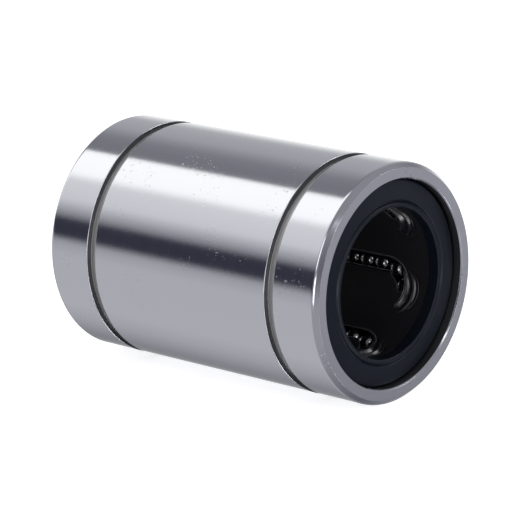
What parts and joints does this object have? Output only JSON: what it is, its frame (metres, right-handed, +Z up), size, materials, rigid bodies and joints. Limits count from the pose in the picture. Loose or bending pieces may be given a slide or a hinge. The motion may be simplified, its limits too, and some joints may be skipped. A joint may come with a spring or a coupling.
{
  "type": "linear ball bearing",
  "caption": "Open cylindrical linear ball bearing: a grooved steel sleeve round a ball retainer, whose recirculating balls carry a round shaft that slides through the bore.",
  "frame": {"origin": "on the axis of the bore, half way along the sleeve", "axes": "+X along the bore towards the front end, which the picture shows; +Z up, with the bearing lying on its side"},
  "size_m": [0.059, 0.04, 0.04],
  "materials": {
    "ground_steel": "ground and polished",
    "ball_steel": "mirror polished",
    "black_moulding": "moulded, satin",
    "slate_ring": "smooth moulded, slightly glossy"
  },
  "bodies": {
    "root": {"outer_sleeve": "ground_steel", "ball_retainer": "black_moulding", "side_ring_front": "slate_ring", "side_ring_rear": "slate_ring"},
    "load_row_1": {"load_balls_1": "ball_steel"},
    "return_row_1": {"return_balls_1": "ball_steel"},
    "front_turn_1": {"front_turn_1_ball_1": "ball_steel", "front_turn_1_ball_2": "ball_steel", "front_turn_1_ball_3": "ball_steel"},
    "rear_turn_1": {"rear_turn_1_ball_1": "ball_steel", "rear_turn_1_ball_2": "ball_steel", "rear_turn_1_ball_3": "ball_steel"},
    "load_row_2": {"load_balls_2": "ball_steel"},
    "return_row_2": {"return_balls_2": "ball_steel"},
    "front_turn_2": {"front_turn_2_ball_1": "ball_steel", "front_turn_2_ball_2": "ball_steel", "front_turn_2_ball_3": "ball_steel"},
    "rear_turn_2": {"rear_turn_2_ball_1": "ball_steel", "rear_turn_2_ball_2": "ball_steel", "rear_turn_2_ball_3": "ball_steel"},
    "load_row_3": {"load_balls_3": "ball_steel"},
    "return_row_3": {"return_balls_3": "ball_steel"},
    "front_turn_3": {"front_turn_3_ball_1": "ball_steel", "front_turn_3_ball_2": "ball_steel", "front_turn_3_ball_3": "ball_steel"},
    "rear_turn_3": {"rear_turn_3_ball_1": "ball_steel", "rear_turn_3_ball_2": "ball_steel", "rear_turn_3_ball_3": "ball_steel"},
    "load_row_4": {"load_balls_4": "ball_steel"},
    "return_row_4": {"return_balls_4": "ball_steel"},
    "front_turn_4": {"front_turn_4_ball_1": "ball_steel", "front_turn_4_ball_2": "ball_steel", "front_turn_4_ball_3": "ball_steel"},
    "rear_turn_4": {"rear_turn_4_ball_1": "ball_steel", "rear_turn_4_ball_2": "ball_steel", "rear_turn_4_ball_3": "ball_steel"},
    "load_row_5": {"load_balls_5": "ball_steel"},
    "return_row_5": {"return_balls_5": "ball_steel"},
    "front_turn_5": {"front_turn_5_ball_1": "ball_steel", "front_turn_5_ball_2": "ball_steel", "front_turn_5_ball_3": "ball_steel"},
    "rear_turn_5": {"rear_turn_5_ball_1": "ball_steel", "rear_turn_5_ball_2": "ball_steel", "rear_turn_5_ball_3": "ball_steel"},
    "load_row_6": {"load_balls_6": "ball_steel"},
    "return_row_6": {"return_balls_6": "ball_steel"},
    "front_turn_6": {"front_turn_6_ball_1": "ball_steel", "front_turn_6_ball_2": "ball_steel", "front_turn_6_ball_3": "ball_steel"},
    "rear_turn_6": {"rear_turn_6_ball_1": "ball_steel", "rear_turn_6_ball_2": "ball_steel", "rear_turn_6_ball_3": "ball_steel"}
  },
  "joints": [
    {"name": "load_row_1_slide", "type": "slide", "parent": "root", "child": "load_row_1", "axis": [1, 0, 0], "range_m": [-0.00158, 0.00158]},
    {"name": "return_row_1_slide", "type": "slide", "parent": "root", "child": "return_row_1", "axis": [1, 0, 0], "range_m": [-0.00158, 0.00158]},
    {"name": "front_turn_1_spin", "type": "hinge", "parent": "root", "child": "front_turn_1", "pos_m": [0.01727, 0.0137, -0.00445], "axis": [0, 0.9948, -0.1021], "range_deg": [-27.05, 27.05]},
    {"name": "rear_turn_1_spin", "type": "hinge", "parent": "root", "child": "rear_turn_1", "pos_m": [-0.01727, 0.0137, -0.00445], "axis": [0, 0.9948, -0.1021], "range_deg": [-27.05, 27.05]},
    {"name": "load_row_2_slide", "type": "slide", "parent": "root", "child": "load_row_2", "axis": [1, 0, 0], "range_m": [-0.00158, 0.00158]},
    {"name": "return_row_2_slide", "type": "slide", "parent": "root", "child": "return_row_2", "axis": [1, 0, 0], "range_m": [-0.00158, 0.00158]},
    {"name": "front_turn_2_spin", "type": "hinge", "parent": "root", "child": "front_turn_2", "pos_m": [0.01727, 0.01071, 0.00964], "axis": [0, 0.5858, 0.8105], "range_deg": [-27.05, 27.05]},
    {"name": "rear_turn_2_spin", "type": "hinge", "parent": "root", "child": "rear_turn_2", "pos_m": [-0.01727, 0.01071, 0.00964], "axis": [0, 0.5858, 0.8105], "range_deg": [-27.05, 27.05]},
    {"name": "load_row_3_slide", "type": "slide", "parent": "root", "child": "load_row_3", "axis": [1, 0, 0], "range_m": [-0.00158, 0.00158]},
    {"name": "return_row_3_slide", "type": "slide", "parent": "root", "child": "return_row_3", "axis": [1, 0, 0], "range_m": [-0.00158, 0.00158]},
    {"name": "front_turn_3_spin", "type": "hinge", "parent": "root", "child": "front_turn_3", "pos_m": [0.01727, -0.00299, 0.01409], "axis": [0, -0.409, 0.9125], "range_deg": [-27.05, 27.05]},
    {"name": "rear_turn_3_spin", "type": "hinge", "parent": "root", "child": "rear_turn_3", "pos_m": [-0.01727, -0.00299, 0.01409], "axis": [0, -0.409, 0.9125], "range_deg": [-27.05, 27.05]},
    {"name": "load_row_4_slide", "type": "slide", "parent": "root", "child": "load_row_4", "axis": [1, 0, 0], "range_m": [-0.00158, 0.00158]},
    {"name": "return_row_4_slide", "type": "slide", "parent": "root", "child": "return_row_4", "axis": [1, 0, 0], "range_m": [-0.00158, 0.00158]},
    {"name": "front_turn_4_spin", "type": "hinge", "parent": "root", "child": "front_turn_4", "pos_m": [0.01727, -0.0137, 0.00445], "axis": [0, -0.9948, 0.1021], "range_deg": [-27.05, 27.05]},
    {"name": "rear_turn_4_spin", "type": "hinge", "parent": "root", "child": "rear_turn_4", "pos_m": [-0.01727, -0.0137, 0.00445], "axis": [0, -0.9948, 0.1021], "range_deg": [-27.05, 27.05]},
    {"name": "load_row_5_slide", "type": "slide", "parent": "root", "child": "load_row_5", "axis": [1, 0, 0], "range_m": [-0.00158, 0.00158]},
    {"name": "return_row_5_slide", "type": "slide", "parent": "root", "child": "return_row_5", "axis": [1, 0, 0], "range_m": [-0.00158, 0.00158]},
    {"name": "front_turn_5_spin", "type": "hinge", "parent": "root", "child": "front_turn_5", "pos_m": [0.01727, -0.01071, -0.00964], "axis": [0, -0.5858, -0.8105], "range_deg": [-27.05, 27.05]},
    {"name": "rear_turn_5_spin", "type": "hinge", "parent": "root", "child": "rear_turn_5", "pos_m": [-0.01727, -0.01071, -0.00964], "axis": [0, -0.5858, -0.8105], "range_deg": [-27.05, 27.05]},
    {"name": "load_row_6_slide", "type": "slide", "parent": "root", "child": "load_row_6", "axis": [1, 0, 0], "range_m": [-0.00158, 0.00158]},
    {"name": "return_row_6_slide", "type": "slide", "parent": "root", "child": "return_row_6", "axis": [1, 0, 0], "range_m": [-0.00158, 0.00158]},
    {"name": "front_turn_6_spin", "type": "hinge", "parent": "root", "child": "front_turn_6", "pos_m": [0.01727, 0.00299, -0.01409], "axis": [0, 0.409, -0.9125], "range_deg": [-27.05, 27.05]},
    {"name": "rear_turn_6_spin", "type": "hinge", "parent": "root", "child": "rear_turn_6", "pos_m": [-0.01727, 0.00299, -0.01409], "axis": [0, 0.409, -0.9125], "range_deg": [-27.05, 27.05]}
  ],
  "couplings": [
    {"joint": "return_row_1_slide", "follows": "load_row_1_slide", "ratio": -1},
    {"joint": "front_turn_1_spin", "follows": "load_row_1_slide", "rad_per_m": 298.51},
    {"joint": "rear_turn_1_spin", "follows": "load_row_1_slide", "rad_per_m": 298.51},
    {"joint": "return_row_2_slide", "follows": "load_row_2_slide", "ratio": -1},
    {"joint": "front_turn_2_spin", "follows": "load_row_2_slide", "rad_per_m": 298.51},
    {"joint": "rear_turn_2_spin", "follows": "load_row_2_slide", "rad_per_m": 298.51},
    {"joint": "return_row_3_slide", "follows": "load_row_3_slide", "ratio": -1},
    {"joint": "front_turn_3_spin", "follows": "load_row_3_slide", "rad_per_m": 298.51},
    {"joint": "rear_turn_3_spin", "follows": "load_row_3_slide", "rad_per_m": 298.51},
    {"joint": "return_row_4_slide", "follows": "load_row_4_slide", "ratio": -1},
    {"joint": "front_turn_4_spin", "follows": "load_row_4_slide", "rad_per_m": 298.51},
    {"joint": "rear_turn_4_spin", "follows": "load_row_4_slide", "rad_per_m": 298.51},
    {"joint": "return_row_5_slide", "follows": "load_row_5_slide", "ratio": -1},
    {"joint": "front_turn_5_spin", "follows": "load_row_5_slide", "rad_per_m": 298.51},
    {"joint": "rear_turn_5_spin", "follows": "load_row_5_slide", "rad_per_m": 298.51},
    {"joint": "return_row_6_slide", "follows": "load_row_6_slide", "ratio": -1},
    {"joint": "front_turn_6_spin", "follows": "load_row_6_slide", "rad_per_m": 298.51},
    {"joint": "rear_turn_6_spin", "follows": "load_row_6_slide", "rad_per_m": 298.51}
  ]
}
